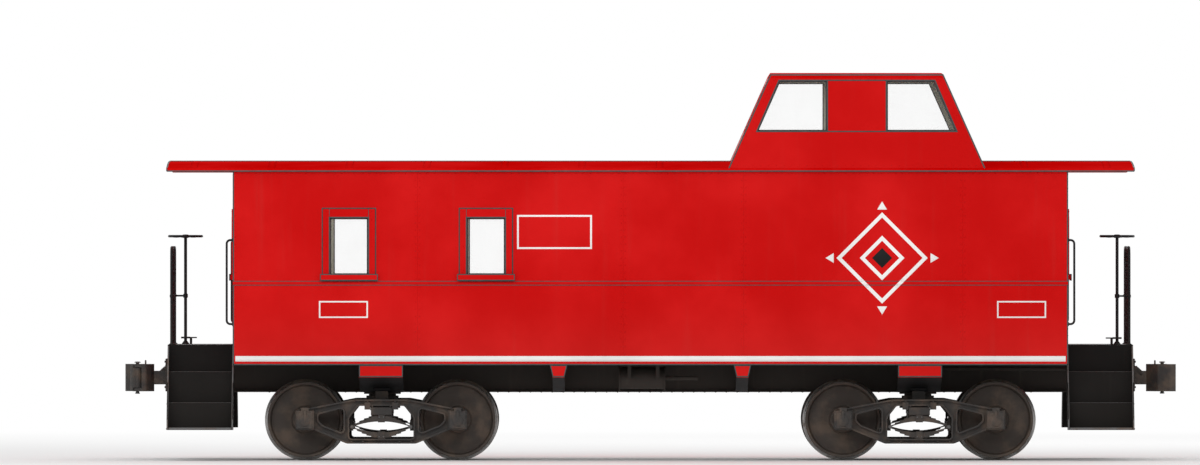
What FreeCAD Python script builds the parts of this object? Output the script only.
import FreeCAD, Part
import math
import os

# A cupola caboose on two four-wheel trucks, at full size, in millimetres.
# +X runs towards the cupola end (front), +Y is the left side, +Z is up. The origin is midway between
# the trucks, on the centreline, at the level of the wheel flanges' lowest point.

# ---------------------------------------------------------------- driving sizes
# Body
BODY_LENGTH = 9144.0        # over the end walls
PLATFORM_LENGTH = 728.0     # each platform, and the roof over it
BODY_WIDTH = 2870.0         # over the side walls
EAVE_OVERHANG = 35.0
WALL = 76.0                 # side and end walls: sheathing, frame and lining
SILL_Z = 1052.0             # underside of the side walls
DECK_Z = 1271.0             # platform deck and cabin floor
EAVE_Z = 3171.0             # top of the side walls
CROWN_Z = 3286.0            # top of the roof on the centreline
ROOF_EDGE = 35.0            # height of the roof's edge
ROOF_SHELL = 60.0           # roof thickness on the centreline
FLOOR_THICK = 76.0
# Cupola
CUPOLA_INSET = 2313.0       # from the front end wall's face to the cupola's centre
CUPOLA_HALF_BASE = 1369.0   # half length where its ends meet the roof's crown
CUPOLA_HALF_TOP = 936.0
CUPOLA_TOP_Z = 4261.0
CUPOLA_OVERHANG = 30.0      # of its sides beyond the side walls
CUPOLA_WALL = 66.0
CUPOLA_ROOF_EDGE = 36.0
CUPOLA_ROOF_RISE = 28.0
CUPOLA_ROOF_SHELL = 30.0
CUPOLA_GLASS_LOW_Z = 3615.0
CUPOLA_GLASS_HIGH_Z = 4163.0
CUPOLA_FRAME = 132.0        # from the sloping end to the glass, measured level
CUPOLA_POST_HALF = 328.0    # half width of the panel between the two side windows
CUPOLA_END_GLASS_WIDTH = 900.0
CUPOLA_END_GLASS_Y = 640.0
# Windows and doors
WINDOW_WIDTH = 416.0
FIRST_WINDOW_INSET = 1270.0     # from the rear end wall's face to the first window's centre
WINDOW_PITCH = 1500.0
WINDOW_LOW_Z = 2038.0
WINDOW_HIGH_Z = 2662.0
END_WINDOW_WIDTH = 360.0
END_WINDOW_Y = 880.0
CUPOLA_END_GLASS_DROP = 40.0    # its end windows' heads below those of the sides
CASING = 77.0
CASING_PROUD = 20.0
HEADER = 99.0
WINDOW_SILL_LENGTH = 613.0
WINDOW_SILL_HEIGHT = 52.0
WINDOW_SILL_PROUD = 48.0
GLASS = 8.0
GLASS_INSET = 30.0
BELT_Z = 1948.0             # centre of the belt rail
BELT_HEIGHT = 40.0
BELT_PROUD = 14.0
DOORWAY_WIDTH = 670.0
DOORWAY_TOP_Z = 3140.0
DOOR_THICK = 44.0
DOOR_GAP = 5.0
DOOR_SILL = 10.0
DOOR_GLASS_WIDTH = 400.0
DOOR_GLASS_LOW_Z = 2240.0
DOOR_GLASS_HIGH_Z = 2860.0
HINGE_OFFSET = 20.0         # from the door's inner face to the hinge axis
HINGE_SIDE = 3.0            # from the doorway's edge to the hinge axis
HINGE_PIN_R = 8.0
HINGE_EYE_R = 14.0
HINGE_EYE_HEIGHT = 60.0
HINGE_LUG_HEIGHT = 20.0
HINGE_PLAY = 0.1
HINGE_STRAP = 190.0         # length of the eye's strap over the leaf
HINGE_HEIGHTS = (230.0, 810.0)  # of the two lower hinges above the deck
HINGE_DROP = 160.0          # of the upper hinge below the doorway's head
DOOR_PANEL_DEPTH = 12.0
DOOR_STILE_HALF = 35.0      # half width of the stile between the lower panels
DOOR_FOOT_RAIL = 130.0
DOOR_LOCK_RAIL = 110.0
LEVER_INSET = 70.0
LEVER_HEIGHT = 1000.0
LEVER_REACH = 45.0
LEVER_LENGTH = 120.0
LEVER_R = 9.0
# Underframe
CENTRE_SILL_LOW_Z = 745.0
CENTRE_SILL_WEB_Y = 163.0   # inner face of each web
CENTRE_SILL_HALF_WIDTH = 255.0
SILL_WEB = 12.0
SILL_FLANGE = 14.0
BOLSTER_LENGTH = 482.0      # along the car
CROSS_END_DEPTH = 132.0     # depth of bolsters and needle beams at the side of the car
CROSS_END_INSET = 10.0
BOLSTER_PLATE = 18.0
BOLSTER_WEB_INSET = 34.0
BOLSTER_KNEE = 160.0        # from the centre sill to where the cross members start to rise
SIDE_BEARING_LENGTH = 180.0
SIDE_BEARING_WIDTH = 100.0
CENTRE_FLANGE_HALF = 200.0
CENTRE_FLANGE = 20.0
KING_PIN_REACH = 160.0      # below the centre plate
NEEDLE_BEAM_X = 1007.0
NEEDLE_BEAM_TOP = 192.0
NEEDLE_BEAM_BOTTOM = 131.0
SIDE_SILL_DEPTH = 90.0
END_SILL_DEPTH = 90.0
STRINGER_WIDTH = 80.0
STRINGER_YS = (450.0, 900.0)
# Platforms and steps
STEP_LOW_Z = 340.0
STEP_PLATE = 10.0
TREAD_DEPTH = 213.0
TREAD_THICK = 24.0
TREAD_TOP_ZS = (364.0, 636.0, 975.0)
DECK_THICK = 30.0
STEP_PLATE_RISE = 90.0      # of the side plates above the lowest tread and beside the deck
STEP_PLATE_DROP = 120.0     # of their inner corner below the highest tread
# Railings and hand brakes
RAIL_R = 16.0
RAIL_HEIGHT = 1067.0
RAIL_X_INSET = 40.0         # from the platform's end to the railing's centre
RAIL_OUTER_Y = 752.0
RAIL_INNER_Y = 260.0
RAIL_BEND = 110.0
SMALL_RAIL = 0.75           # thickness of the inner bars against the hoop
GRAB_R = 12.0
GRAB_PROUD = 70.0
GRAB_INSET = 70.0           # from the side of the body
GRAB_ZS = (1500.0, 2420.0)
GRAB_BEND = 40.0
BRAKE_STAFF_R = 17.0
BRAKE_WHEEL_R = 195.0
BRAKE_RIM_R = 14.0
BRAKE_STAFF_Y = 506.0
BRAKE_STAFF_INSET = 165.0   # from the platform's end
BRAKE_WHEEL_Z = 2462.0
BRAKE_SPOKES = 5
BRAKE_SPOKE_R = 9.0
BRAKE_HUB_R = 36.0
BRAKE_HUB_HEIGHT = 40.0
# Couplers
COUPLER_Z = 903.0
PULLING_FACE = 420.0        # beyond the platform's end
COUPLER_SWING_ARM = 1020.0  # from the pulling face back to the tail pin
SHANK_WIDTH = 128.0
SHANK_HEIGHT = 150.0
TAIL_R = 75.0
TAIL_PIN_R = 35.0
KNUCKLE_PIN = (-70.0, 125.0)
KNUCKLE_PIN_R = 20.0
KNUCKLE_HUB_R = 50.0
KNUCKLE_HALF_HEIGHT = 140.0
HUB_HALF_HEIGHT = 110.0
EAR_ROOM = 60.0             # cut away over and under the knuckle's hub
HEAD_HALF_HEIGHT = 150.0
EAR_THICK = 35.0
DRAFT_GEAR_GAP = 10.0       # behind the coupler's tail
DRAFT_GEAR_LENGTH = 320.0
DRAFT_GEAR_HALF_HEIGHT = 120.0
YOKE_HALF_WIDTH = 70.0
YOKE_THICK = 28.0
YOKE_GAP = 6.0              # over and under the shank
STRIKER_THICK = 40.0
STRIKER_HALF_WIDTH = 230.0
STRIKER_HALF_OPENING = 154.0
STRIKER_HEADROOM = 8.0
CARRIER_THICK = 22.0
PIN_PLAY = 0.1
# Trucks
TRUCK_INSET = 1620.0        # from the end wall's face to the truck's centre
WHEELBASE = 1676.0
WHEEL_R = 419.0
FLANGE_R = 446.0
RIM_WIDTH = 140.0
BACK_TO_BACK = 1353.0
JOURNAL_Y = 990.0
JOURNAL_R = 70.0
SEAL_ROOM = 50.0            # length of the wider bore inside each journal box
AXLE_HALF = 1100.0
WHEEL_SEAT_R = 89.0
HUB_BACK = 19.0             # of the hub behind the wheel's inner face
HUB_LENGTH = 177.0
CENTRE_PLATE_Z = 690.0
CENTRE_PLATE_R = 150.0
KING_PIN_R = 25.0
SIDE_BEARING_Y = 635.0
SIDE_BEARING_Z = 765.0
SIDE_BEARING_HEIGHT = 35.0
FRAME_THICK = 104.0
FRAME_FLANGE = 18.0
FRAME_RECESS = 36.0
BOLSTER_WIDTH = 230.0
SHOE_THICK = 42.0
SHOE_WIDTH = 82.0
BRAKE_HEAD = 40.0           # from a shoe's back to the middle of its beam
BRAKE_BEAM_DROP = 60.0      # below the axle
SPRING_HALF = 320.0
SPRING_SAG = 60.0
LEAF = 12.0
LEAF_COUNT = 5
LEAF_STEP = 52.0            # how much shorter half of each further leaf is
LEAF_WIDTH = 96.0
SPRING_BAND = 76.0
SPRING_EYE_R = 17.0
SPRING_SEAT_Z = 240.0
SPRING_TOP_Z = 500.0
WORKING_GAP = 5.0
# Inside
LOCKER_HALF_LENGTH = 950.0
LOCKER_HEIGHT = 1430.0
LOCKER_INNER_Y = 370.0
SEAT_BOX_HEIGHT = 200.0
SEAT_YS = (480.0, 1180.0)
SEAT_FRONT = 270.0          # from the cupola's centre
SEAT_BACK = 880.0
PAD = 100.0                 # cushion thickness
BUNK_CLEARANCE = 296.0      # from the rear end wall
BUNK_LENGTH = 1840.0
BUNK_INNER_Y = 720.0
BUNK_HEIGHT = 420.0
DESK_GAP = 110.0            # from the bunk's end to the desk
DESK_LENGTH = 1000.0
DESK_HEIGHT = 745.0
DESK_DEPTH = 540.0
DESK_TOP = 30.0
DESK_LEG = 50.0
DRAWERS_LENGTH = 400.0
DRAWERS_FOOT = 230.0        # above the floor
SEAT_BOARD = 26.0
SEAT_BOARD_HEIGHT = 560.0
SEAT_BOARD_LEAN = 60.0
SEAT_BOARD_INSET = 90.0
SEAT_PAD_MARGIN = 30.0      # of the back cushion from the board's ends
PAD_INSET = 10.0
# Air brakes, under the floor
BRAKE_GEAR_DROP = 150.0     # of the reservoir's and cylinder's axes below the side sills
RESERVOIR_Y = 620.0
RESERVOIR_R = 140.0
RESERVOIR_HALF = 500.0
RESERVOIR_DOME_R = 210.0
CYLINDER_Y = -600.0
CYLINDER_R = 120.0
CYLINDER_FLANGE_R = 135.0
CYLINDER_FLANGE = 15.0
CYLINDER_XS = (-330.0, 150.0)
PUSH_ROD_END = 520.0
PUSH_ROD_R = 24.0
PIPE_Y = -400.0
PIPE_DROP = 50.0
PIPE_R = 21.0

HALF_BODY = BODY_LENGTH / 2
HALF_ROOF = HALF_BODY + PLATFORM_LENGTH
HALF_WIDTH = BODY_WIDTH / 2
ROOF_HALF_WIDTH = HALF_WIDTH + EAVE_OVERHANG
CUPOLA_HALF_WIDTH = HALF_WIDTH + CUPOLA_OVERHANG
CUPOLA_X = HALF_BODY - CUPOLA_INSET
TRUCK_X = HALF_BODY - TRUCK_INSET
INNER_X = HALF_BODY - WALL
INNER_Y = HALF_WIDTH - WALL
PLATFORM_HALF = HALF_WIDTH - 3 * TREAD_DEPTH
AXLE_Z = FLANGE_R
FLOOR_LOW_Z = DECK_Z - FLOOR_THICK
ENDS = (("front", 1), ("rear", -1))


# ---------------------------------------------------------------- shape helpers
def vec(x, y, z):
    return FreeCAD.Vector(x, y, z)


def block(x0, x1, y0, y1, z0, z1):
    """A box between two corners, given in any order."""
    return Part.makeBox(
        abs(x1 - x0), abs(y1 - y0), abs(z1 - z0), vec(min(x0, x1), min(y0, y1), min(z0, z1))
    )


def rounded_outline(points, radii=None):
    """A closed flat wire through points, with each corner rounded to its radius."""
    count = len(points)
    radii = radii or [0.0] * count
    edges, starts, ends = [], [], []
    for i, (corner, radius) in enumerate(zip(points, radii)):
        before, after = points[i - 1], points[(i + 1) % count]
        to_before = (before - corner).normalize()
        to_after = (after - corner).normalize()
        if radius <= 0:
            starts.append(corner)
            ends.append(corner)
            edges.append(None)
            continue
        half_angle = to_before.getAngle(to_after) / 2
        reach = radius / math.tan(half_angle)
        bisector = (to_before + to_after).normalize()
        centre = corner + bisector * (radius / math.sin(half_angle))
        start, end = corner + to_before * reach, corner + to_after * reach
        middle = centre - bisector * radius
        starts.append(start)
        ends.append(end)
        edges.append(Part.Arc(start, middle, end).toShape())
    wire = []
    for i in range(count):
        if edges[i]:
            wire.append(edges[i])
        following = (i + 1) % count
        if (starts[following] - ends[i]).Length > 1e-6:
            wire.append(Part.makeLine(ends[i], starts[following]))
    return Part.Wire(wire)


def flat_face(points, plane, at, radii=None):
    """A flat face with the given outline. plane is "xz", "yz" or "xy", and at is where it lies across it."""
    place = {
        "xz": lambda a, b: vec(a, at, b),
        "yz": lambda a, b: vec(at, a, b),
        "xy": lambda a, b: vec(a, b, at),
    }[plane]
    return Part.Face(rounded_outline([place(a, b) for a, b in points], radii))


def prism(points, plane, low, high, radii=None):
    """A flat outline carried straight from low to high."""
    along = {"xz": vec(0, high - low, 0), "yz": vec(high - low, 0, 0), "xy": vec(0, 0, high - low)}[plane]
    return flat_face(points, plane, low, radii).extrude(along)


def rod(start, end, radius):
    """A round bar from start to end."""
    start, end = vec(*start), vec(*end)
    return Part.makeCylinder(radius, (end - start).Length, start, end - start)


def bent_rod(points, radius, bend):
    """A round bar along points, bent to one radius at each inner point."""
    points = [vec(*p) for p in points]
    edges, here = [], points[0]
    for before, corner, after in zip(points, points[1:], points[2:]):
        to_before = (before - corner).normalize()
        to_after = (after - corner).normalize()
        half_angle = to_before.getAngle(to_after) / 2
        reach = bend / math.tan(half_angle)
        bisector = (to_before + to_after).normalize()
        middle = corner + bisector * (bend / math.sin(half_angle) - bend)
        start, end = corner + to_before * reach, corner + to_after * reach
        edges.append(Part.makeLine(here, start))
        edges.append(Part.Arc(start, middle, end).toShape())
        here = end
    edges.append(Part.makeLine(here, points[-1]))
    path = Part.Wire(edges)
    section = Part.Wire(Part.makeCircle(radius, points[0], points[1] - points[0]))
    return path.makePipeShell([section], True, False)


def fused(shapes):
    """One solid from shapes that touch or overlap."""
    shapes = list(shapes)
    joined = shapes[0].multiFuse(shapes[1:]) if len(shapes) > 1 else shapes[0]
    joined = joined.removeSplitter()
    return joined.Solids[0] if len(joined.Solids) == 1 else joined


def cut(shape, tools):
    """shape with every tool taken away."""
    for tool in tools:
        shape = shape.cut(tool)
    shape = shape.removeSplitter()
    return shape.Solids[0] if len(shape.Solids) == 1 else shape


def mirrored(shape, axis):
    """The shape's mirror image across the plane through the origin that is normal to axis."""
    return shape.mirror(vec(0, 0, 0), {"x": vec(1, 0, 0), "y": vec(0, 1, 0)}[axis])


def both_sides(shape):
    return [shape, mirrored(shape, "y")]


def turned(shape):
    """The shape turned half round about the vertical centreline."""
    copy = shape.copy()
    copy.rotate(vec(0, 0, 0), vec(0, 0, 1), 180)
    return copy


def at_end(shape, end):
    """A shape made for the front end, turned round for the rear end where end is -1."""
    return shape if end > 0 else turned(shape)


def moved(shape, x, y, z):
    copy = shape.copy()
    copy.translate(vec(x, y, z))
    return copy


def save(node, *shapes):
    """Writes one node's solids as parts/NODE.step."""
    solids = [solid for shape in shapes for solid in shape.Solids]
    whole = solids[0] if len(solids) == 1 else Part.makeCompound(solids)
    whole.exportStep(os.path.join("parts", node + ".step"))


# ---------------------------------------------------------------- underframe
def arched_prism(half, low_z, edge_z, crown_z, x0, x1):
    """The space under an arched roof: flat below, with an arc from edge to edge over the crown."""
    corners = [vec(x0, -half, low_z), vec(x0, half, low_z), vec(x0, half, edge_z), vec(x0, -half, edge_z)]
    arch = Part.Arc(corners[2], vec(x0, 0, crown_z), corners[3]).toShape()
    sides = [Part.makeLine(corners[0], corners[1]), Part.makeLine(corners[1], corners[2])]
    wire = Part.Wire([*sides, arch, Part.makeLine(corners[3], corners[0])])
    return Part.Face(wire).extrude(vec(x1 - x0, 0, 0))


def centre_sill():
    """Two channels back to back under a cover plate, open below, from buffer beam to buffer beam."""
    web, outer = CENTRE_SILL_WEB_Y, CENTRE_SILL_HALF_WIDTH
    channel = [
        (web, CENTRE_SILL_LOW_Z),
        (outer, CENTRE_SILL_LOW_Z),
        (outer, CENTRE_SILL_LOW_Z + SILL_FLANGE),
        (web + SILL_WEB, CENTRE_SILL_LOW_Z + SILL_FLANGE),
        (web + SILL_WEB, SILL_Z - SILL_FLANGE),
        (outer, SILL_Z - SILL_FLANGE),
        (outer, SILL_Z),
        (-outer, SILL_Z),
        (-outer, SILL_Z - SILL_FLANGE),
        (-web - SILL_WEB, SILL_Z - SILL_FLANGE),
        (-web - SILL_WEB, CENTRE_SILL_LOW_Z + SILL_FLANGE),
        (-outer, CENTRE_SILL_LOW_Z + SILL_FLANGE),
        (-outer, CENTRE_SILL_LOW_Z),
        (-web, CENTRE_SILL_LOW_Z),
        (-web, SILL_Z - SILL_FLANGE),
        (web, SILL_Z - SILL_FLANGE),
    ]
    save("centre_sill", prism(channel, "yz", -HALF_ROOF, HALF_ROOF))


def cross_member_depths():
    """The outline, seen along the car, that bolsters and needle beams share on the left side."""
    outer = HALF_WIDTH - CROSS_END_INSET
    return [
        (CENTRE_SILL_HALF_WIDTH, SILL_Z),
        (outer, SILL_Z),
        (outer, SILL_Z - CROSS_END_DEPTH),
        (CENTRE_SILL_HALF_WIDTH + BOLSTER_KNEE, CENTRE_SILL_LOW_Z),
        (CENTRE_SILL_HALF_WIDTH, CENTRE_SILL_LOW_Z),
    ]


def body_bolster_half(x):
    """The left half of a body bolster: a box of webs between wider cover plates, closed at its end."""
    half = BOLSTER_LENGTH / 2
    whole = prism(cross_member_depths(), "yz", x - half, x + half)
    outer = HALF_WIDTH - CROSS_END_INSET
    inner_outline = [
        (CENTRE_SILL_HALF_WIDTH, SILL_Z - BOLSTER_PLATE),
        (outer - BOLSTER_PLATE, SILL_Z - BOLSTER_PLATE),
        (outer - BOLSTER_PLATE, SILL_Z - CROSS_END_DEPTH + BOLSTER_PLATE),
        (CENTRE_SILL_HALF_WIDTH + BOLSTER_KNEE, CENTRE_SILL_LOW_Z + BOLSTER_PLATE),
        (CENTRE_SILL_HALF_WIDTH, CENTRE_SILL_LOW_Z + BOLSTER_PLATE),
    ]
    recesses = [
        prism(inner_outline, "yz", x + side * (half - BOLSTER_WEB_INSET), x + side * half)
        for side in (-1, 1)
    ]
    reach, across = SIDE_BEARING_LENGTH / 2, SIDE_BEARING_WIDTH / 2
    bearing = block(
        x - reach, x + reach, SIDE_BEARING_Y - across, SIDE_BEARING_Y + across,
        SIDE_BEARING_Z, SIDE_BEARING_Z + SIDE_BEARING_HEIGHT,
    )
    return fused([cut(whole, recesses), bearing])


def needle_beam_half(x):
    """The left half of a needle beam: it narrows to a web, which deepens towards the centre sill."""
    wide, narrow = NEEDLE_BEAM_TOP / 2, NEEDLE_BEAM_BOTTOM / 2
    web_z = SILL_Z - CROSS_END_DEPTH
    outline = [
        (x - wide, SILL_Z), (x + wide, SILL_Z), (x + narrow, web_z),
        (x + narrow, CENTRE_SILL_LOW_Z), (x - narrow, CENTRE_SILL_LOW_Z), (x - narrow, web_z),
    ]
    flanks = prism(outline, "xz", 0, HALF_WIDTH)
    belly = prism(cross_member_depths(), "yz", x - wide, x + wide)
    return flanks.common(belly)


def underframe():
    centre_sill()
    save("body_bolsters", *(s for _, e in ENDS for s in both_sides(body_bolster_half(e * TRUCK_X))))
    save("needle_beams", *(s for _, e in ENDS for s in both_sides(needle_beam_half(e * NEEDLE_BEAM_X))))
    stringers = [s for y in STRINGER_YS for s in both_sides(floor_stringer(y))]
    save("side_sills", *both_sides(side_sill()), *stringers)
    save("end_sills", *(at_end(piece, e) for _, e in ENDS for piece in (body_end_sill(), buffer_beam())))
    save("floor", block(-INNER_X, INNER_X, -INNER_Y, INNER_Y, FLOOR_LOW_Z, DECK_Z))
    save("centre_plates", *(centre_plate(e * TRUCK_X) for _, e in ENDS))


def side_sill():
    """A channel inside the foot of the left wall, open towards the middle of the car."""
    outline = [
        (INNER_Y, SILL_Z),
        (INNER_Y, FLOOR_LOW_Z),
        (INNER_Y - SIDE_SILL_DEPTH, FLOOR_LOW_Z),
        (INNER_Y - SIDE_SILL_DEPTH, FLOOR_LOW_Z - SILL_FLANGE),
        (INNER_Y - SILL_WEB, FLOOR_LOW_Z - SILL_FLANGE),
        (INNER_Y - SILL_WEB, SILL_Z + SILL_FLANGE),
        (INNER_Y - SIDE_SILL_DEPTH, SILL_Z + SILL_FLANGE),
        (INNER_Y - SIDE_SILL_DEPTH, SILL_Z),
    ]
    return prism(outline, "yz", -INNER_X, INNER_X)


def floor_stringer(y):
    """A timber along the car that carries the floor over the cross members."""
    return block(-INNER_X, INNER_X, y - STRINGER_WIDTH / 2, y + STRINGER_WIDTH / 2, SILL_Z, FLOOR_LOW_Z)


def body_end_sill():
    """The cross channel under the front end wall."""
    return block(INNER_X, HALF_BODY, -INNER_Y, INNER_Y, SILL_Z, FLOOR_LOW_Z)


def buffer_beam():
    """The channel across the front platform's end, open towards the body."""
    top = DECK_Z - DECK_THICK
    outline = [
        (HALF_ROOF, SILL_Z),
        (HALF_ROOF, top),
        (HALF_ROOF - END_SILL_DEPTH, top),
        (HALF_ROOF - END_SILL_DEPTH, top - SILL_FLANGE),
        (HALF_ROOF - SILL_FLANGE, top - SILL_FLANGE),
        (HALF_ROOF - SILL_FLANGE, SILL_Z + SILL_FLANGE),
        (HALF_ROOF - END_SILL_DEPTH, SILL_Z + SILL_FLANGE),
        (HALF_ROOF - END_SILL_DEPTH, SILL_Z),
    ]
    return prism(outline, "xz", -PLATFORM_HALF, PLATFORM_HALF)


def centre_plate(x):
    """The body's centre plate with its king pin, and the web filler above it inside the sill."""
    filler = block(
        x - BOLSTER_LENGTH / 2, x + BOLSTER_LENGTH / 2,
        -CENTRE_SILL_WEB_Y, CENTRE_SILL_WEB_Y, CENTRE_SILL_LOW_Z, SILL_Z - SILL_FLANGE,
    )
    flange = block(
        x - CENTRE_FLANGE_HALF, x + CENTRE_FLANGE_HALF, -CENTRE_SILL_HALF_WIDTH, CENTRE_SILL_HALF_WIDTH,
        CENTRE_SILL_LOW_Z - CENTRE_FLANGE, CENTRE_SILL_LOW_Z,
    )
    plate = Part.makeCylinder(
        CENTRE_PLATE_R, CENTRE_SILL_LOW_Z - CENTRE_PLATE_Z - PIN_PLAY, vec(x, 0, CENTRE_PLATE_Z + PIN_PLAY)
    )
    pin = Part.makeCylinder(KING_PIN_R, KING_PIN_REACH + 10, vec(x, 0, CENTRE_PLATE_Z - KING_PIN_REACH))
    return fused([filler, flange, plate, pin])


# ---------------------------------------------------------------- body shell
def side_window_xs():
    """Centres of the two windows in each side."""
    first = FIRST_WINDOW_INSET - HALF_BODY
    return (first, first + WINDOW_PITCH)


def side_wall():
    """The left wall with its window openings."""
    wall = block(-HALF_BODY, HALF_BODY, INNER_Y, HALF_WIDTH, SILL_Z, EAVE_Z)
    half = WINDOW_WIDTH / 2
    openings = [
        block(x - half, x + half, INNER_Y, HALF_WIDTH, WINDOW_LOW_Z, WINDOW_HIGH_Z) for x in side_window_xs()
    ]
    return cut(wall, openings)


def end_wall():
    """The front wall with its doorway and two windows, arched to meet the roof."""
    wall = arched_prism(INNER_Y, FLOOR_LOW_Z, EAVE_Z, CROWN_Z - ROOF_SHELL, INNER_X, HALF_BODY)
    doorway = block(
        INNER_X, HALF_BODY, -DOORWAY_WIDTH / 2, DOORWAY_WIDTH / 2, DECK_Z + DOOR_SILL, DOORWAY_TOP_Z
    )
    half = END_WINDOW_WIDTH / 2
    windows = [
        block(INNER_X, HALF_BODY, y - half, y + half, WINDOW_LOW_Z, WINDOW_HIGH_Z)
        for y in (-END_WINDOW_Y, END_WINDOW_Y)
    ]
    return cut(wall, [doorway, *windows])


def roof_space():
    """Everything below the roof's top surface."""
    return arched_prism(
        ROOF_HALF_WIDTH, EAVE_Z, EAVE_Z + ROOF_EDGE, CROWN_Z, -HALF_ROOF, HALF_ROOF
    )


def main_roof():
    """The arched roof over body and platforms, open under the cupola."""
    under = arched_prism(
        INNER_Y, EAVE_Z - 50, EAVE_Z, CROWN_Z - ROOF_SHELL, -HALF_ROOF, HALF_ROOF
    )
    half = CUPOLA_HALF_BASE - 80
    hatch = block(
        CUPOLA_X - half, CUPOLA_X + half, -INNER_Y, INNER_Y, EAVE_Z - 10, CROWN_Z + 10
    )
    return cut(roof_space(), [under, hatch])


def cupola_half_at(z):
    """Half length of the cupola at height z."""
    share = (z - CROWN_Z) / (CUPOLA_TOP_Z - CROWN_Z)
    return CUPOLA_HALF_BASE + (CUPOLA_HALF_TOP - CUPOLA_HALF_BASE) * share


def cupola_slope_shift():
    """Level thickness of a sloping cupola end."""
    run = CUPOLA_HALF_BASE - CUPOLA_HALF_TOP
    rise = CUPOLA_TOP_Z - CROWN_Z
    return CUPOLA_WALL * math.hypot(run, rise) / rise


def cupola_window(side):
    """The four corners of a cupola side window, the front one where side is 1."""
    high = cupola_half_at(CUPOLA_GLASS_HIGH_Z) - CUPOLA_FRAME
    low = cupola_half_at(CUPOLA_GLASS_LOW_Z) - CUPOLA_FRAME
    return [
        (CUPOLA_X + side * CUPOLA_POST_HALF, CUPOLA_GLASS_LOW_Z),
        (CUPOLA_X + side * low, CUPOLA_GLASS_LOW_Z),
        (CUPOLA_X + side * high, CUPOLA_GLASS_HIGH_Z),
        (CUPOLA_X + side * CUPOLA_POST_HALF, CUPOLA_GLASS_HIGH_Z),
    ]


CUPOLA_WALL_TOP_Z = CUPOLA_TOP_Z - CUPOLA_ROOF_EDGE - CUPOLA_ROOF_RISE


def cupola_side():
    """The left side of the cupola, on the roof's edge above the side wall."""
    low, high = EAVE_Z, CUPOLA_WALL_TOP_Z
    outline = [
        (CUPOLA_X - cupola_half_at(low), low),
        (CUPOLA_X + cupola_half_at(low), low),
        (CUPOLA_X + cupola_half_at(high), high),
        (CUPOLA_X - cupola_half_at(high), high),
    ]
    outer = CUPOLA_HALF_WIDTH
    wall = prism(outline, "xz", outer - CUPOLA_WALL, outer)
    windows = [prism(cupola_window(side), "xz", outer - CUPOLA_WALL, outer) for side in (-1, 1)]
    return cut(wall, [roof_space(), *windows])


def cupola_end_slab(low, high, depth, inset=0.0):
    """Outline of a slab that leans with the cupola's front end, in the xz plane."""
    return [
        (CUPOLA_X + cupola_half_at(low) - inset, low),
        (CUPOLA_X + cupola_half_at(high) - inset, high),
        (CUPOLA_X + cupola_half_at(high) - inset - depth, high),
        (CUPOLA_X + cupola_half_at(low) - inset - depth, low),
    ]


def cupola_end():
    """The sloping front end of the cupola between its sides, with two windows."""
    inner = CUPOLA_HALF_WIDTH - CUPOLA_WALL
    wall = prism(cupola_end_slab(EAVE_Z, CUPOLA_WALL_TOP_Z, cupola_slope_shift()), "xz", -inner, inner)
    half = CUPOLA_END_GLASS_WIDTH / 2
    window = cupola_end_slab(
        CUPOLA_GLASS_LOW_Z, CUPOLA_GLASS_HIGH_Z - CUPOLA_END_GLASS_DROP, cupola_slope_shift()
    )
    windows = [
        prism(window, "xz", y - half, y + half) for y in (-CUPOLA_END_GLASS_Y, CUPOLA_END_GLASS_Y)
    ]
    return cut(wall, [roof_space(), *windows])


def cupola_about_middle(shape):
    """The shape mirrored to the cupola's rear end."""
    return shape.mirror(vec(CUPOLA_X, 0, 0), vec(1, 0, 0))


def cupola_roof():
    """The cupola's low arched roof, with ends that follow the slope."""
    half = CUPOLA_HALF_WIDTH
    edge = CUPOLA_WALL_TOP_Z + CUPOLA_ROOF_EDGE
    reach = CUPOLA_HALF_BASE
    outer = arched_prism(half, CUPOLA_WALL_TOP_Z, edge, CUPOLA_TOP_Z, CUPOLA_X - reach, CUPOLA_X + reach)
    under = arched_prism(
        half - CUPOLA_WALL, CUPOLA_WALL_TOP_Z - 20, CUPOLA_WALL_TOP_Z,
        CUPOLA_TOP_Z - CUPOLA_ROOF_SHELL, CUPOLA_X - reach, CUPOLA_X + reach,
    )
    inner_reach = cupola_half_at(CUPOLA_WALL_TOP_Z) - cupola_slope_shift()
    room = block(
        CUPOLA_X - inner_reach, CUPOLA_X + inner_reach, -half, half, CUPOLA_WALL_TOP_Z - 50, CUPOLA_TOP_Z
    )
    sides = [
        (CUPOLA_X - cupola_half_at(CUPOLA_WALL_TOP_Z), CUPOLA_WALL_TOP_Z),
        (CUPOLA_X + cupola_half_at(CUPOLA_WALL_TOP_Z), CUPOLA_WALL_TOP_Z),
        (CUPOLA_X + CUPOLA_HALF_TOP, CUPOLA_TOP_Z),
        (CUPOLA_X - CUPOLA_HALF_TOP, CUPOLA_TOP_Z),
    ]
    return cut(outer.common(prism(sides, "xz", -half, half)), [under.common(room)])


def window_frame(centre, width, plane_at, axis):
    """A raised casing, header and sill round one window. axis is the wall's outward direction."""
    half = width / 2
    outer = half + CASING
    sill_half = half + (WINDOW_SILL_LENGTH - WINDOW_WIDTH) / 2

    def piece(a0, a1, proud, z0, z1):
        if axis == "y":
            return block(a0, a1, plane_at, plane_at + proud, z0, z1)
        return block(plane_at, plane_at + proud, a0, a1, z0, z1)

    board = piece(centre - outer, centre + outer, CASING_PROUD, WINDOW_LOW_Z, WINDOW_HIGH_Z + HEADER)
    hole = piece(centre - half, centre + half, CASING_PROUD, WINDOW_LOW_Z, WINDOW_HIGH_Z)
    sill_low = WINDOW_LOW_Z - WINDOW_SILL_HEIGHT
    sill = piece(centre - sill_half, centre + sill_half, WINDOW_SILL_PROUD, sill_low, WINDOW_LOW_Z)
    return fused([board.cut(hole), sill])


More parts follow.
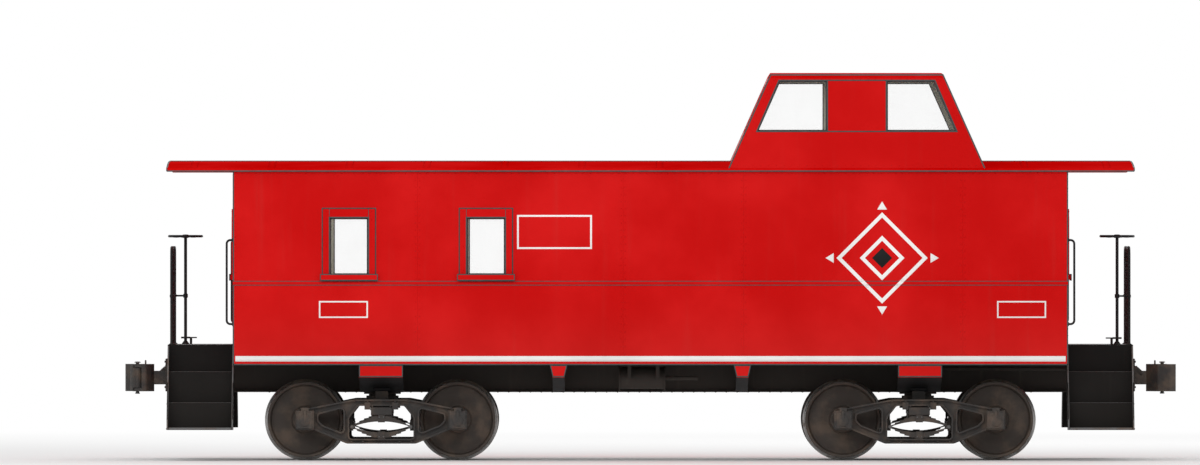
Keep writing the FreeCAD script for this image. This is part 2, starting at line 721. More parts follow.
def windows():
    """The frames and panes of the body's windows, and the panes of the cupola's."""
    frames, panes = [], []
    for x in side_window_xs():
        frames += both_sides(window_frame(x, WINDOW_WIDTH, HALF_WIDTH, "y"))
        half = WINDOW_WIDTH / 2
        outside = HALF_WIDTH - GLASS_INSET
        panes += both_sides(block(x - half, x + half, outside - GLASS, outside, WINDOW_LOW_Z, WINDOW_HIGH_Z))
    for _, end in ENDS:
        frame = window_frame(END_WINDOW_Y, END_WINDOW_WIDTH, HALF_BODY, "x")
        half = END_WINDOW_WIDTH / 2
        outside = HALF_BODY - GLASS_INSET
        pane = block(
            outside - GLASS, outside, END_WINDOW_Y - half, END_WINDOW_Y + half, WINDOW_LOW_Z, WINDOW_HIGH_Z
        )
        frames += [at_end(side, end) for side in both_sides(frame)]
        panes += [at_end(side, end) for side in both_sides(pane)]
    save("window_frames", *frames)
    save("cabin_glass", *panes)

    outer = CUPOLA_HALF_WIDTH - GLASS_INSET
    side_panes = [
        s for side in (-1, 1) for s in both_sides(prism(cupola_window(side), "xz", outer - GLASS, outer))
    ]
    half = CUPOLA_END_GLASS_WIDTH / 2
    slab = cupola_end_slab(
        CUPOLA_GLASS_LOW_Z, CUPOLA_GLASS_HIGH_Z - CUPOLA_END_GLASS_DROP, GLASS, GLASS_INSET
    )
    end_panes = both_sides(prism(slab, "xz", CUPOLA_END_GLASS_Y - half, CUPOLA_END_GLASS_Y + half))
    save("cupola_glass", *side_panes, *end_panes, *(cupola_about_middle(p) for p in end_panes))


def belt_rail():
    """A moulding with a rounded face along the left side, under the window sills."""
    low, high = BELT_Z - BELT_HEIGHT / 2, BELT_Z + BELT_HEIGHT / 2
    corners = [vec(-HALF_BODY, HALF_WIDTH, low), vec(-HALF_BODY, HALF_WIDTH, high)]
    face = Part.Arc(corners[1], vec(-HALF_BODY, HALF_WIDTH + BELT_PROUD, BELT_Z), corners[0]).toShape()
    wire = Part.Wire([Part.makeLine(*corners), face])
    return Part.Face(wire).extrude(vec(BODY_LENGTH, 0, 0))


def body_shell():
    save("side_walls", *both_sides(side_wall()))
    save("end_walls", *(at_end(end_wall(), end) for _, end in ENDS))
    save("main_roof", main_roof())
    save("cupola_side_walls", *both_sides(cupola_side()))
    save("cupola_end_walls", cupola_end(), cupola_about_middle(cupola_end()))
    save("cupola_roof", cupola_roof())
    save("belt_rails", *both_sides(belt_rail()))
    windows()


# ---------------------------------------------------------------- doors
def hinge_axis():
    """Where the front door's hinge pins stand, in plan."""
    return (INNER_X - HINGE_OFFSET, DOORWAY_WIDTH / 2 + HINGE_SIDE)


def hinge_zs():
    """The undersides of the door's hinge eyes."""
    return [*(DECK_Z + height for height in HINGE_HEIGHTS), DOORWAY_TOP_Z - HINGE_DROP]


def door_leaf():
    """The front door: a panelled leaf with a glazed opening, three hinge eyes and a lever each side."""
    half = DOORWAY_WIDTH / 2 - DOOR_GAP
    low, high = DECK_Z + DOOR_SILL + DOOR_GAP, DOORWAY_TOP_Z - DOOR_GAP
    outer = INNER_X + DOOR_THICK
    leaf = block(INNER_X, outer, -half, half, low, high)
    glass_half = DOOR_GLASS_WIDTH / 2
    hole = block(INNER_X, outer, -glass_half, glass_half, DOOR_GLASS_LOW_Z, DOOR_GLASS_HIGH_Z)
    panels = [
        block(face, face + DOOR_PANEL_DEPTH, y0, y1, low + DOOR_FOOT_RAIL, DOOR_GLASS_LOW_Z - DOOR_LOCK_RAIL)
        for face in (INNER_X, outer - DOOR_PANEL_DEPTH)
        for y0, y1 in ((-glass_half, -DOOR_STILE_HALF), (DOOR_STILE_HALF, glass_half))
    ]
    eyes = [hinge_eye(z, half) for z in hinge_zs()]
    levers = [*door_lever(INNER_X, -1, half), *door_lever(outer, 1, half)]
    return fused([cut(leaf, [hole, *panels]), *eyes, *levers])


def hinge_eye(z, half):
    """One bored eye of the door, on a strap that a pad holds off the leaf. half is half the leaf's width."""
    x, y = hinge_axis()
    top, strap_end = z + HINGE_EYE_HEIGHT, half - HINGE_STRAP
    barrel = Part.makeCylinder(HINGE_EYE_R, HINGE_EYE_HEIGHT, vec(x, y, z))
    strap = block(x - 4, INNER_X - WORKING_GAP, strap_end, y, z, top)
    pad = block(INNER_X - WORKING_GAP, INNER_X, strap_end, half - 10, z, top)
    bore = Part.makeCylinder(HINGE_PIN_R + HINGE_PLAY, HINGE_EYE_HEIGHT, vec(x, y, z))
    return fused([barrel, strap, pad]).cut(bore)


def door_lever(face, out, half):
    """A lever handle on one face of the leaf: its rose, spindle and grip. out is which way the face looks."""
    y, z = -half + LEVER_INSET, DECK_Z + LEVER_HEIGHT
    grip_x = face + out * (LEVER_REACH - 3)
    return [
        Part.makeCylinder(28, 6, vec(face, y, z), vec(out, 0, 0)),
        rod((face, y, z), (face + out * LEVER_REACH, y, z), LEVER_R + 2),
        rod((grip_x, y, z), (grip_x, y + LEVER_LENGTH, z), LEVER_R),
    ]


def door_glass():
    half = DOOR_GLASS_WIDTH / 2
    x = INNER_X + DOOR_THICK / 2
    return block(x - GLASS / 2, x + GLASS / 2, -half, half, DOOR_GLASS_LOW_Z, DOOR_GLASS_HIGH_Z)


def hinge_bracket(z):
    """One fixed hinge leaf on the end wall: a plate, a lug above and below the door's eye, and the pin."""
    x, y = hinge_axis()
    low, high = z - HINGE_LUG_HEIGHT - 1, z + HINGE_EYE_HEIGHT + 1
    plate_y = y + HINGE_EYE_R + WORKING_GAP
    plate = block(INNER_X - 8, INNER_X, plate_y, plate_y + 70, low, high + HINGE_LUG_HEIGHT)
    lugs = [
        fused([
            Part.makeCylinder(HINGE_EYE_R, HINGE_LUG_HEIGHT, vec(x, y, foot)),
            block(x - HINGE_EYE_R / 2, INNER_X - 1, y, plate_y, foot, foot + HINGE_LUG_HEIGHT),
            block(x - HINGE_EYE_R / 2, INNER_X, plate_y, plate_y + 12, foot, foot + HINGE_LUG_HEIGHT),
        ])
        for foot in (low, high)
    ]
    pin = Part.makeCylinder(HINGE_PIN_R, high + HINGE_LUG_HEIGHT - low, vec(x, y, low))
    return fused([plate, *lugs, pin])


def doors():
    hinges = []
    for end_name, end in ENDS:
        save(end_name + "_door", at_end(door_leaf(), end))
        save(end_name + "_door_glass", at_end(door_glass(), end))
        hinges += [at_end(hinge_bracket(z), end) for z in hinge_zs()]
    save("door_hinges", *hinges)


# ---------------------------------------------------------------- platforms
def steps():
    """The left front steps: treads and closed risers between two side plates."""
    inner, outer = HALF_BODY, HALF_ROOF
    pieces = []
    for i, top in enumerate(TREAD_TOP_ZS):
        nose = HALF_WIDTH - i * TREAD_DEPTH
        back = nose - TREAD_DEPTH
        next_low = (*TREAD_TOP_ZS[1:], DECK_Z)[i]
        pieces.append(block(inner, outer, back, nose, top - TREAD_THICK, top))
        pieces.append(block(inner, outer, back, back + STEP_PLATE, top - TREAD_THICK, next_low))
    plate = [
        (HALF_WIDTH, STEP_LOW_Z),
        (HALF_WIDTH, TREAD_TOP_ZS[0] + STEP_PLATE_RISE),
        (PLATFORM_HALF + STEP_PLATE_RISE, DECK_Z),
        (PLATFORM_HALF, DECK_Z),
        (PLATFORM_HALF, TREAD_TOP_ZS[-1] - STEP_PLATE_DROP),
        (HALF_WIDTH - TREAD_DEPTH - 10, STEP_LOW_Z),
    ]
    radii = [30, 60, 40, 0, 0, 40]
    for x in (inner, outer - STEP_PLATE):
        pieces.append(prism(plate, "yz", x, x + STEP_PLATE, radii))
    return fused(pieces)


def end_platform():
    """The front deck between the steps."""
    return block(HALF_BODY, HALF_ROOF, -PLATFORM_HALF, PLATFORM_HALF, DECK_Z - DECK_THICK, DECK_Z)


def railing_half():
    """The left half of the front railing: a hoop of bar with a middle rail and two uprights."""
    x = HALF_ROOF - RAIL_X_INSET
    top, middle_z = DECK_Z + RAIL_HEIGHT, DECK_Z + RAIL_HEIGHT / 2
    thin = RAIL_R * SMALL_RAIL
    corners = [
        (x, RAIL_OUTER_Y, DECK_Z), (x, RAIL_OUTER_Y, top), (x, RAIL_INNER_Y, top), (x, RAIL_INNER_Y, DECK_Z),
    ]
    hoop = bent_rod(corners, RAIL_R, RAIL_BEND)
    middle = rod((x, RAIL_INNER_Y, middle_z), (x, RAIL_OUTER_Y, middle_z), thin)
    gap = (RAIL_OUTER_Y - RAIL_INNER_Y) / 3
    upright_ys = (RAIL_INNER_Y + gap, RAIL_OUTER_Y - gap)
    uprights = [rod((x, y, DECK_Z), (x, y, top), thin) for y in upright_ys]
    feet = [Part.makeCylinder(RAIL_R * 2, 10, vec(x, y, DECK_Z)) for y in (RAIL_INNER_Y, RAIL_OUTER_Y)]
    return fused([hoop, middle, *uprights, *feet])


def grab_iron():
    """A handhold at the left corner of the front end wall, beside the steps."""
    y, out = HALF_WIDTH - GRAB_INSET, HALF_BODY + GRAB_PROUD
    low, high = GRAB_ZS
    corners = [(HALF_BODY, y, low), (out, y, low), (out, y, high), (HALF_BODY, y, high)]
    bar = bent_rod(corners, GRAB_R, GRAB_BEND)
    feet = [Part.makeCylinder(GRAB_R * 2, 8, vec(HALF_BODY, y, z), vec(1, 0, 0)) for z in GRAB_ZS]
    return fused([bar, *feet])


def hand_brake():
    """The front hand brake: a staff through the deck with a spoked wheel on top."""
    x, y = HALF_ROOF - BRAKE_STAFF_INSET, -BRAKE_STAFF_Y
    middle_z = DECK_Z + RAIL_HEIGHT / 2
    rail_face = HALF_ROOF - RAIL_X_INSET - RAIL_R * SMALL_RAIL
    staff = rod((x, y, DECK_Z), (x, y, BRAKE_WHEEL_Z + BRAKE_HUB_HEIGHT / 2), BRAKE_STAFF_R)
    socket = Part.makeCylinder(BRAKE_STAFF_R * 2.4, 14, vec(x, y, DECK_Z))
    ratchet = Part.makeCylinder(BRAKE_STAFF_R * 3, 22, vec(x, y, DECK_Z + 60))
    guide = block(x - 26, rail_face, y - 14, y + 14, middle_z - 12, middle_z + 12)
    return fused([staff, socket, ratchet, guide, *brake_wheel(x, y)])


def brake_wheel(x, y):
    """The rim, hub and spokes of the hand brake's wheel."""
    reach = BRAKE_WHEEL_R - BRAKE_RIM_R
    rim = Part.makeTorus(reach, BRAKE_RIM_R, vec(x, y, BRAKE_WHEEL_Z))
    hub = Part.makeCylinder(BRAKE_HUB_R, BRAKE_HUB_HEIGHT, vec(x, y, BRAKE_WHEEL_Z - BRAKE_HUB_HEIGHT / 2))
    spokes = []
    for k in range(BRAKE_SPOKES):
        angle = 2 * math.pi * k / BRAKE_SPOKES
        end = (x + reach * math.cos(angle), y + reach * math.sin(angle), BRAKE_WHEEL_Z)
        spokes.append(rod((x, y, BRAKE_WHEEL_Z), end, BRAKE_SPOKE_R))
    return [rim, hub, *spokes]


def platforms():
    save("end_platforms", *(at_end(end_platform(), end) for _, end in ENDS))
    save("steps", *(at_end(side, end) for _, end in ENDS for side in both_sides(steps())))
    rails = [*both_sides(railing_half()), *both_sides(grab_iron())]
    save("handrails", *(at_end(rail, end) for _, end in ENDS for rail in rails))
    save("hand_brakes", *(at_end(hand_brake(), end) for _, end in ENDS))


# ---------------------------------------------------------------- couplers
def coupler_origin():
    """The middle of the front coupler's pulling face."""
    return HALF_ROOF + PULLING_FACE


def knuckle():
    """The front coupler's hook, closed: a hub on its pin and a nose across the middle."""
    face_x = coupler_origin()
    pin_x, pin_y = face_x + KNUCKLE_PIN[0], KNUCKLE_PIN[1]
    outline = [
        (-95, 170), (-20, 178), (10, 130), (12, 0), (-58, -4), (-66, 62), (-112, 90),
    ]
    radii = [20, 35, 40, 24, 20, 20, 20]
    points = [(face_x + u, v) for u, v in outline]
    low, high = COUPLER_Z - KNUCKLE_HALF_HEIGHT, COUPLER_Z + KNUCKLE_HALF_HEIGHT
    nose = prism(points, "xy", low, high, radii)
    room = [
        Part.makeCylinder(KNUCKLE_HUB_R + 16, EAR_ROOM, vec(pin_x, pin_y, z))
        for z in (COUPLER_Z + HUB_HALF_HEIGHT, COUPLER_Z - HUB_HALF_HEIGHT - EAR_ROOM)
    ]
    hub_low = vec(pin_x, pin_y, COUPLER_Z - HUB_HALF_HEIGHT)
    hub = Part.makeCylinder(KNUCKLE_HUB_R, HUB_HALF_HEIGHT * 2, hub_low)
    bore = Part.makeCylinder(KNUCKLE_PIN_R + PIN_PLAY, high - low, vec(pin_x, pin_y, low))
    return cut(fused([cut(nose, room), hub]), [bore])


def coupler():
    """The front coupler: tail eye, shank and head with its guard arm, knuckle ears and pin."""
    face_x = coupler_origin()
    tail_x = face_x - COUPLER_SWING_ARM
    pin_x, pin_y = face_x + KNUCKLE_PIN[0], KNUCKLE_PIN[1]
    shank_low, shank_high = COUPLER_Z - SHANK_HEIGHT / 2, COUPLER_Z + SHANK_HEIGHT / 2
    head_low, head_height = COUPLER_Z - HEAD_HALF_HEIGHT, HEAD_HALF_HEIGHT * 2
    outline = [
        (-250, -64), (-190, -118), (-130, -176), (10, -206), (75, -180), (62, -146),
        (-60, -70), (-112, -30), (-128, 30), (-134, 120), (-112, 196), (-170, 190), (-215, 130), (-250, 64),
    ]
    radii = [0, 60, 40, 40, 12, 20, 50, 50, 40, 0, 8, 40, 60, 0]
    points = [(face_x + u, v) for u, v in outline]
    shank = block(tail_x, face_x - 230, -SHANK_WIDTH / 2, SHANK_WIDTH / 2, shank_low, shank_high)
    tail = Part.makeCylinder(TAIL_R, SHANK_HEIGHT, vec(tail_x, 0, shank_low))
    tail_bore = Part.makeCylinder(TAIL_PIN_R + PIN_PLAY, SHANK_HEIGHT, vec(tail_x, 0, shank_low))
    head = prism(points, "xy", head_low, head_low + head_height, radii)
    pocket = Part.makeCylinder(KNUCKLE_HUB_R + 14, head_height, vec(pin_x, pin_y, head_low))
    ears = [coupler_ear(low) for low in (COUPLER_Z + HEAD_HALF_HEIGHT - EAR_THICK, head_low)]
    pin = Part.makeCylinder(KNUCKLE_PIN_R, head_height + 30, vec(pin_x, pin_y, head_low - 15))
    return cut(fused([shank, tail, cut(head, [pocket]), *ears, pin]), [tail_bore])


def coupler_ear(low):
    """One of the two ears that hold the knuckle's pin, its underside at low."""
    face_x = coupler_origin()
    web = [(-150, 66), (-70, 72), (-70, 178), (-150, 192)]
    boss = Part.makeCylinder(
        KNUCKLE_HUB_R + 4, EAR_THICK, vec(face_x + KNUCKLE_PIN[0], KNUCKLE_PIN[1], low)
    )
    return fused([prism([(face_x + u, v) for u, v in web], "xy", low, low + EAR_THICK), boss])


def draft_gear():
    """The front draft gear: a yoke round the tail pin, behind it the cushioning block, between the webs."""
    pin_x = coupler_origin() - COUPLER_SWING_ARM
    front = pin_x - TAIL_R - DRAFT_GEAR_GAP
    rear = front - DRAFT_GEAR_LENGTH
    gear = block(
        rear, front, -CENTRE_SILL_WEB_Y, CENTRE_SILL_WEB_Y,
        COUPLER_Z - DRAFT_GEAR_HALF_HEIGHT, COUPLER_Z + DRAFT_GEAR_HALF_HEIGHT,
    )
    half_gap = SHANK_HEIGHT / 2 + YOKE_GAP
    low = COUPLER_Z - half_gap - YOKE_THICK
    straps = [
        block(rear, pin_x + 70, -YOKE_HALF_WIDTH, YOKE_HALF_WIDTH, z, z + YOKE_THICK)
        for z in (low, COUPLER_Z + half_gap)
    ]
    pin = Part.makeCylinder(TAIL_PIN_R, 2 * (half_gap + YOKE_THICK), vec(pin_x, 0, low))
    return fused([gear, *straps, pin])


def striker():
    """The frame round the front coupler's shank at the sill's end, with the carrier under the shank."""
    x0, x1 = HALF_ROOF, HALF_ROOF + STRIKER_THICK
    top = COUPLER_Z + SHANK_HEIGHT / 2 + STRIKER_HEADROOM
    low = COUPLER_Z - SHANK_HEIGHT / 2 - WORKING_GAP
    plate = block(x0, x1, -STRIKER_HALF_WIDTH, STRIKER_HALF_WIDTH, low - 70, SILL_Z + 60)
    opening = block(x0, x1, -STRIKER_HALF_OPENING, STRIKER_HALF_OPENING, low, top)
    carrier = block(x0 - 60, x1, -STRIKER_HALF_OPENING, STRIKER_HALF_OPENING, low - CARRIER_THICK, low)
    return fused([cut(plate, [opening]), carrier])


def couplers():
    for end_name, end in ENDS:
        save(end_name + "_coupler", at_end(coupler(), end))
        save(end_name + "_knuckle", at_end(knuckle(), end))
    save("draft_gears", *(at_end(draft_gear(), end) for _, end in ENDS))
    save("strikers", *(at_end(striker(), end) for _, end in ENDS))


# ---------------------------------------------------------------- trucks
def wheel():
    """The left wheel of an axle at the origin: hub, dished plate, rim, tapered tread and flange."""
    back = BACK_TO_BACK / 2
    front = back + RIM_WIDTH
    hub_in = back - HUB_BACK
    hub_out = hub_in + HUB_LENGTH
    outline = [
        (WHEEL_SEAT_R, hub_in), (138, hub_in), (150, back + 30), (372, back + 24), (384, back),
        (FLANGE_R - 6, back), (FLANGE_R, back + 8), (FLANGE_R, back + 16), (WHEEL_R + 6, back + 30),
        (WHEEL_R, back + 42), (WHEEL_R - 5, front), (386, front), (374, back + 62), (152, back + 56),
        (140, hub_out), (WHEEL_SEAT_R, hub_out),
    ]
    wire = rounded_outline([vec(0, y, r) for r, y in outline])
    return Part.Face(wire).revolve(vec(0, 0, 0), vec(0, 1, 0), 360)


def axle():
    """The axle alone: a tapered middle, wheel seats, journals and end collars, turned as one."""
    seat = BACK_TO_BACK / 2 - HUB_BACK
    seat_end = seat + HUB_LENGTH
    half_outline = [
        (0, 76), (seat - 60, 82), (seat, WHEEL_SEAT_R), (seat_end, WHEEL_SEAT_R),
        (seat_end + 18, JOURNAL_R + 8), (JOURNAL_Y - 112, JOURNAL_R + 8), (JOURNAL_Y - 104, JOURNAL_R),
        (AXLE_HALF - 22, JOURNAL_R), (AXLE_HALF, JOURNAL_R - 12),
    ]
    right = [(-y, r) for y, r in reversed(half_outline[1:])]
    outline = [(-AXLE_HALF, 0), *right, *half_outline, (AXLE_HALF, 0)]
    wire = rounded_outline([vec(0, y, r) for y, r in outline])
    return Part.Face(wire).revolve(vec(0, 0, 0), vec(0, 1, 0), 360)


def side_frame():
    """The left side frame of a truck at the origin: a flanged cast truss with journal boxes at its ends."""
    axle_x = WHEELBASE / 2
    low, high = JOURNAL_Y - FRAME_THICK / 2, JOURNAL_Y + FRAME_THICK / 2
    near, far = BOLSTER_WIDTH / 2 + WORKING_GAP, BOLSTER_WIDTH / 2 + 70
    hanger_x = brake_beam_x()
    fittings = []
    for side in (-1, 1):
        fittings.append(journal_box(side * axle_x))
        fittings.append(block(side * near, side * far, low - 10, high + 10, 560, 640))
        fittings.append(
            block(side * (hanger_x - 24), side * (hanger_x + 24), low, low + FRAME_RECESS, 540, 580)
        )
    return cut(fused([side_frame_plate(low), *fittings]), journal_bores(low - 80))


def side_frame_plate(low):
    """The truss alone, recessed on both faces inside its flanges. low is the y of its inner face."""
    axle_x = WHEELBASE / 2
    # Right half of the outline, from the top chord's middle downwards: x, z, corner radius.
    half_outline = [
        (300, 672, 120), (axle_x - 60, 580, 90), (axle_x + 96, 552, 24),
        (axle_x + 96, 350, 20), (axle_x - 96, 336, 60), (380, 186, 70),
    ]
    half_window = [(250, 600, 40), (352, 470, 50), (352, SPRING_SEAT_Z, 30)]
    eye = [(416, 300, 30), (640, 388, 30), (690, 440, 20), (690, 506, 24), (416, 576, 36)]
    face = symmetric_face(half_outline, low).cut(symmetric_face(half_window, low))
    for side in (-1, 1):
        face = face.cut(flat_face([(side * x, z) for x, z, _ in eye], "xz", low, [r for _, _, r in eye]))
    plate = face.Faces[0].extrude(vec(0, FRAME_THICK, 0))
    recess = face.Faces[0].makeOffset2D(-FRAME_FLANGE).extrude(vec(0, FRAME_RECESS, 0))
    return cut(plate, [recess, moved(recess, 0, FRAME_THICK - FRAME_RECESS, 0)])


def journal_bores(inner):
    """The bearing bores of both journal boxes, each with a wider seal room from inner outwards."""
    depth = AXLE_HALF + 6 - inner
    sizes = ((JOURNAL_R + PIN_PLAY, depth), (JOURNAL_R + 14, SEAL_ROOM))
    return [
        Part.makeCylinder(radius, length, vec(side * WHEELBASE / 2, inner, AXLE_Z), vec(0, 1, 0))
        for side in (-1, 1)
        for radius, length in sizes
    ]


def symmetric_face(half, y):
    """A face in the xz plane at y, alike left and right. half lists x, z and radius down its right side."""
    right = [(x, z) for x, z, _ in half]
    left = [(-x, z) for x, z, _ in reversed(half)]
    radii = [radius for _, _, radius in half]
    return flat_face(right + left, "xz", y, radii + radii[::-1])


def journal_box(x):
    """A journal box with a slanting lid, closed at its outer end."""
    inner, outer = JOURNAL_Y - 110, AXLE_HALF + 20
    profile = [
        (inner, 336), (outer - 6, 336), (outer + 22, 356), (outer - 4, 548), (outer - 30, 562), (inner, 562),
    ]
    body = prism(profile, "yz", x - 100, x + 100)
    lid = [(outer + 18, 350), (outer + 34, 352), (outer + 10, 544), (outer - 8, 546)]
    cover = prism(lid, "yz", x - 88, x + 88)
    lug = block(x - 40, x + 40, outer - 30, outer + 14, 540, 580)
    return fused([body, cover, lug])


def truck_bolster():
    """The truck's cross beam at the origin: deep in the middle, with centre bowl and side bearings."""
    half = BOLSTER_WIDTH / 2
    end = JOURNAL_Y + 60
    profile = [
        (-end, 500), (-720, 500), (-420, 440), (420, 440), (720, 500), (end, 500),
        (end, 586), (800, 586), (560, 660), (-560, 660), (-800, 586), (-end, 586),
    ]
    beam = prism(profile, "yz", -half, half, [8, 60, 80, 80, 60, 8, 8, 60, 60, 60, 60, 8])
    rim = Part.makeCylinder(CENTRE_PLATE_R + 28, 50, vec(0, 0, 655))
    bowl = Part.makeCylinder(CENTRE_PLATE_R + WORKING_GAP, 50, vec(0, 0, CENTRE_PLATE_Z))
    bore = Part.makeCylinder(KING_PIN_R + PIN_PLAY, 400, vec(0, 0, 400))
    bearings = [
        block(-70, 70, y - 42, y + 42, 600, SIDE_BEARING_Z - WORKING_GAP)
        for y in (-SIDE_BEARING_Y, SIDE_BEARING_Y)
    ]
    return cut(fused([beam, rim, *bearings]), [bowl, bore])


def half_spring(up):
    """Half of an elliptic spring: stacked leaves that shorten away from the main leaf, and their band."""
    middle = (SPRING_SEAT_Z + SPRING_TOP_Z) / 2
    stack = LEAF * LEAF_COUNT
    face_z = middle + up * (SPRING_SAG + stack)
    end_z = SPRING_TOP_Z if up > 0 else SPRING_SEAT_Z
    band_half = SPRING_BAND / 2
    cheek = LEAF_WIDTH / 2 + 8
    band = block(
        -band_half, band_half, JOURNAL_Y - cheek, JOURNAL_Y + cheek, face_z - up * (stack + 10), end_z
    )
    return [*(spring_leaf(k, up, middle) for k in range(LEAF_COUNT)), band]


def spring_leaf(k, up, middle):
    """Leaf k of a half spring, bent on the arc all its leaves share. middle is the height of the eyes."""
    radius = (SPRING_HALF ** 2 + SPRING_SAG ** 2) / 2 / SPRING_SAG
    centre_z = middle + up * (SPRING_SAG - radius)
    half = SPRING_HALF - LEAF_STEP * k
    inner, outer = radius + LEAF * k, radius + LEAF * (k + 1)

    def on(r, x):
        return vec(x, JOURNAL_Y - LEAF_WIDTH / 2, centre_z + up * math.sqrt(r * r - x * x))

    under = Part.Arc(on(inner, -half), on(inner, 0), on(inner, half)).toShape()
    over = Part.Arc(on(outer, half), on(outer, 0), on(outer, -half)).toShape()
    rise = Part.makeLine(on(inner, half), on(outer, half))
    fall = Part.makeLine(on(outer, -half), on(inner, -half))
    wire = Part.Wire([under, rise, over, fall])
    return Part.Face(wire).extrude(vec(0, LEAF_WIDTH, 0))


def leaf_spring():
    """A full elliptic spring on the left side of a truck at the origin."""
    z = (SPRING_SEAT_Z + SPRING_TOP_Z) / 2
    eyes = [
        rod((x, JOURNAL_Y - 50, z), (x, JOURNAL_Y + 50, z), SPRING_EYE_R)
        for x in (-SPRING_HALF, SPRING_HALF)
    ]
    return fused([*half_spring(1), *half_spring(-1), *eyes])


def brake_beam_x():
    """Distance from the truck's centre to the middle of a brake beam."""
    return WHEELBASE / 2 - (WHEEL_R + WORKING_GAP + SHOE_THICK + BRAKE_HEAD)


def brake_beam(side):
    """A brake beam inside one wheel pair, with a head and a shoe facing each tread."""
    axle_x, beam_x = side * WHEELBASE / 2, side * brake_beam_x()
    tread_to = BACK_TO_BACK / 2 + RIM_WIDTH - 6
    tread_from = tread_to - SHOE_WIDTH
    shoe_in, shoe_out = WHEEL_R + WORKING_GAP, WHEEL_R + WORKING_GAP + SHOE_THICK
    ring = Part.makeCylinder(shoe_out, SHOE_WIDTH, vec(axle_x, tread_from, AXLE_Z), vec(0, 1, 0))
    tread = Part.makeCylinder(shoe_in, SHOE_WIDTH, vec(axle_x, tread_from, AXLE_Z), vec(0, 1, 0))
    window = block(axle_x - side * 360, axle_x - side * 480, 0, 1000, AXLE_Z - 210, AXLE_Z + 110)
    shoe = ring.cut(tread).common(window)
    beam_z = AXLE_Z - BRAKE_BEAM_DROP
    head = block(
        axle_x - side * (shoe_out - 8), beam_x - side * 20, tread_from + 8, tread_to - 8,
        beam_z - 60, beam_z + 60,
    )
    bar = block(beam_x - 24, beam_x + 24, -tread_to, tread_to, beam_z - 30, beam_z + 30)
    hanger = block(beam_x - 12, beam_x + 12, tread_to - 8, tread_to + 14, beam_z - 20, 560)
    foot = block(beam_x - 12, beam_x + 12, tread_to - 8, JOURNAL_Y - FRAME_THICK / 2, 548, 572)
    return fused([bar, *both_sides(fused([shoe, head, hanger, foot]))])


def trucks():
    wheelset_names = iter(("first", "second", "third", "fourth"))
    for end_name, end in ENDS:
        x = end * TRUCK_X
        frames = [moved(s, x, 0, 0) for s in both_sides(side_frame())]
        save(end_name + "_truck_side_frames", *frames)
        save(end_name + "_truck_bolster", moved(truck_bolster(), x, 0, 0))
        save(end_name + "_truck_springs", *(moved(s, x, 0, 0) for s in both_sides(leaf_spring())))
        save(end_name + "_truck_brakes", *(moved(brake_beam(side), x, 0, 0) for side in (-1, 1)))
        for side in (1, -1):
            name = next(wheelset_names)
            axle_x = x + end * side * WHEELBASE / 2
            save(name + "_axle", moved(axle(), axle_x, 0, AXLE_Z))
            save(name + "_wheels", *(moved(s, axle_x, 0, AXLE_Z) for s in both_sides(wheel())))


# ---------------------------------------------------------------- inside
def cupola_seat(side):
    """One of the left side's two lookout seats, facing the cupola's middle: wooden parts, then its pads."""
    top = DECK_Z + LOCKER_HEIGHT
    shelf = top + SEAT_BOX_HEIGHT
    inner, outer = SEAT_YS
    face = SEAT_BACK - SEAT_BOARD_INSET
    board_top = shelf + SEAT_BOARD_HEIGHT
    pad_low, pad_high = shelf + SEAT_PAD_MARGIN, board_top - SEAT_PAD_MARGIN

    def at(u):
        return CUPOLA_X + side * u

    def leaning(z):
        return face + SEAT_BOARD_LEAN * (z - shelf) / SEAT_BOARD_HEIGHT

    board = [
        (at(face), shelf), (at(face + SEAT_BOARD), shelf),
        (at(leaning(board_top) + SEAT_BOARD), board_top), (at(leaning(board_top)), board_top),
    ]
    back = [
        (at(leaning(pad_low)), pad_low), (at(leaning(pad_high)), pad_high),
        (at(leaning(pad_high) - PAD), pad_high), (at(leaning(pad_low) - PAD), pad_low),
    ]
    box = block(at(SEAT_FRONT), at(SEAT_BACK), inner, outer, top, shelf)
    seat_pad = block(
        at(SEAT_FRONT), at(face - PAD - 12), inner + PAD_INSET, outer - PAD_INSET, shelf, shelf + PAD
    )
    back_pad = prism(back, "xz", inner + PAD_INSET, outer - PAD_INSET)
    return [box, prism(board, "xz", inner, outer)], [seat_pad, back_pad]


def interior():
    """What shows through the windows: lockers and seats under the cupola, bunks and a desk."""
    wood = [
        block(
            CUPOLA_X - LOCKER_HALF_LENGTH, CUPOLA_X + LOCKER_HALF_LENGTH, LOCKER_INNER_Y, INNER_Y,
            DECK_Z, DECK_Z + LOCKER_HEIGHT,
        )
    ]
    pads = []
    for side in (-1, 1):
        seat_wood, seat_pads = cupola_seat(side)
        wood += seat_wood
        pads += seat_pads
    save("cupola_lockers", *both_sides(fused(wood)))
    save("cupola_cushions", *(s for pad in pads for s in both_sides(pad)))
    bunks()
    desk()


def bunks():
    """A bunk with its cushion along each side wall at the rear."""
    top = DECK_Z + BUNK_HEIGHT
    rear = BUNK_CLEARANCE - INNER_X
    front = rear + BUNK_LENGTH
    save("bunks", *both_sides(block(rear, front, BUNK_INNER_Y, INNER_Y, DECK_Z, top)))
    cushion = block(
        rear + PAD_INSET, front - PAD_INSET, BUNK_INNER_Y + PAD_INSET, INNER_Y - 2, top, top + PAD
    )
    save("bunk_cushions", *both_sides(cushion))


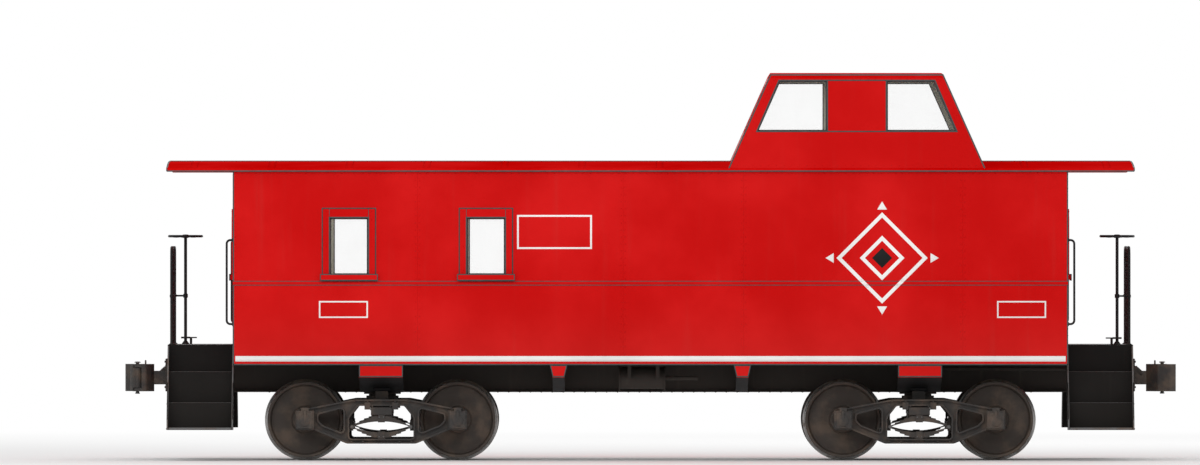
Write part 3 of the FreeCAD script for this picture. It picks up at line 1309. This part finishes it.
def desk():
    """The conductor's desk on the right side, with a drawer unit at its rear end and two legs."""
    rear = BUNK_CLEARANCE - INNER_X + BUNK_LENGTH + DESK_GAP
    front = rear + DESK_LENGTH
    drawers_end = rear + DRAWERS_LENGTH
    under, inner = DECK_Z + DESK_HEIGHT - DESK_TOP, -INNER_Y + DESK_DEPTH
    top = block(rear, front, -INNER_Y, inner, under, under + DESK_TOP)
    legs = [block(x, x + DESK_LEG, inner - DESK_LEG, inner, DECK_Z, under) for x in (rear, front - DESK_LEG)]
    drawers = block(rear, drawers_end, -INNER_Y, inner - 20, DECK_Z + DRAWERS_FOOT, under)
    rail = block(drawers_end, front, -INNER_Y, -INNER_Y + 20, under - 120, under)
    save("desk", fused([top, *legs, drawers, rail]))


def reservoir():
    """The air reservoir with a domed head at each end, on two straps under the left of the floor."""
    y, z, end = RESERVOIR_Y, SILL_Z - BRAKE_GEAR_DROP, RESERVOIR_HALF
    sunk = math.sqrt(RESERVOIR_DOME_R ** 2 - RESERVOIR_R ** 2)
    pieces = [rod((-end, y, z), (end, y, z), RESERVOIR_R)]
    for side in (-1, 1):
        dome = Part.makeSphere(RESERVOIR_DOME_R, vec(side * (end - sunk), y, z))
        beyond = block(
            side * end, side * (end + 100), y - RESERVOIR_DOME_R, y + RESERVOIR_DOME_R,
            z - RESERVOIR_DOME_R, z + RESERVOIR_DOME_R,
        )
        strap = block(side * (end - 170), side * (end - 120), y - 210, y + 240, z, SILL_Z)
        pieces += [dome.common(beyond), strap]
    return fused(pieces)


def brake_cylinder():
    """The brake cylinder with its two flanges, push rod and straps, under the right of the floor."""
    y, z = CYLINDER_Y, SILL_Z - BRAKE_GEAR_DROP
    rear, front = CYLINDER_XS
    return fused([
        rod((rear, y, z), (front, y, z), CYLINDER_R),
        rod((rear - CYLINDER_FLANGE, y, z), (rear, y, z), CYLINDER_FLANGE_R),
        rod((front, y, z), (front + CYLINDER_FLANGE, y, z), CYLINDER_FLANGE_R),
        rod((front + CYLINDER_FLANGE, y, z), (PUSH_ROD_END, y, z), PUSH_ROD_R),
        block(rear + 80, rear + 120, y - 260, y + 190, z, SILL_Z),
        block(front - 90, front - 50, y - 260, y + 190, z, SILL_Z),
    ])


def brake_pipe():
    """The front end of the brake pipe, from the bolster to the angle cock beside the coupler."""
    y, z, end = PIPE_Y, SILL_Z - PIPE_DROP, HALF_ROOF
    start = TRUCK_X + BOLSTER_LENGTH / 2 - BOLSTER_WEB_INSET
    return fused([
        rod((start, y, z), (end + 50, y, z), PIPE_R),
        rod((end + 20, y, z), (end + 60, y, z), PIPE_R + 13),
        rod((end + 50, y, z + 6), (end + 120, y, z - 60), PIPE_R + 3),
        block(end - 60, end - 30, y - 30, y + 30, z, SILL_Z),
    ])


def brake_equipment():
    """The air reservoir, brake cylinder and brake pipe under the floor."""
    save("air_brakes", reservoir(), brake_cylinder())
    save("brake_pipes", *(at_end(brake_pipe(), end) for _, end in ENDS))


def main():
    os.makedirs("parts", exist_ok=True)
    underframe()
    body_shell()
    doors()
    platforms()
    couplers()
    trucks()
    interior()
    brake_equipment()


main()
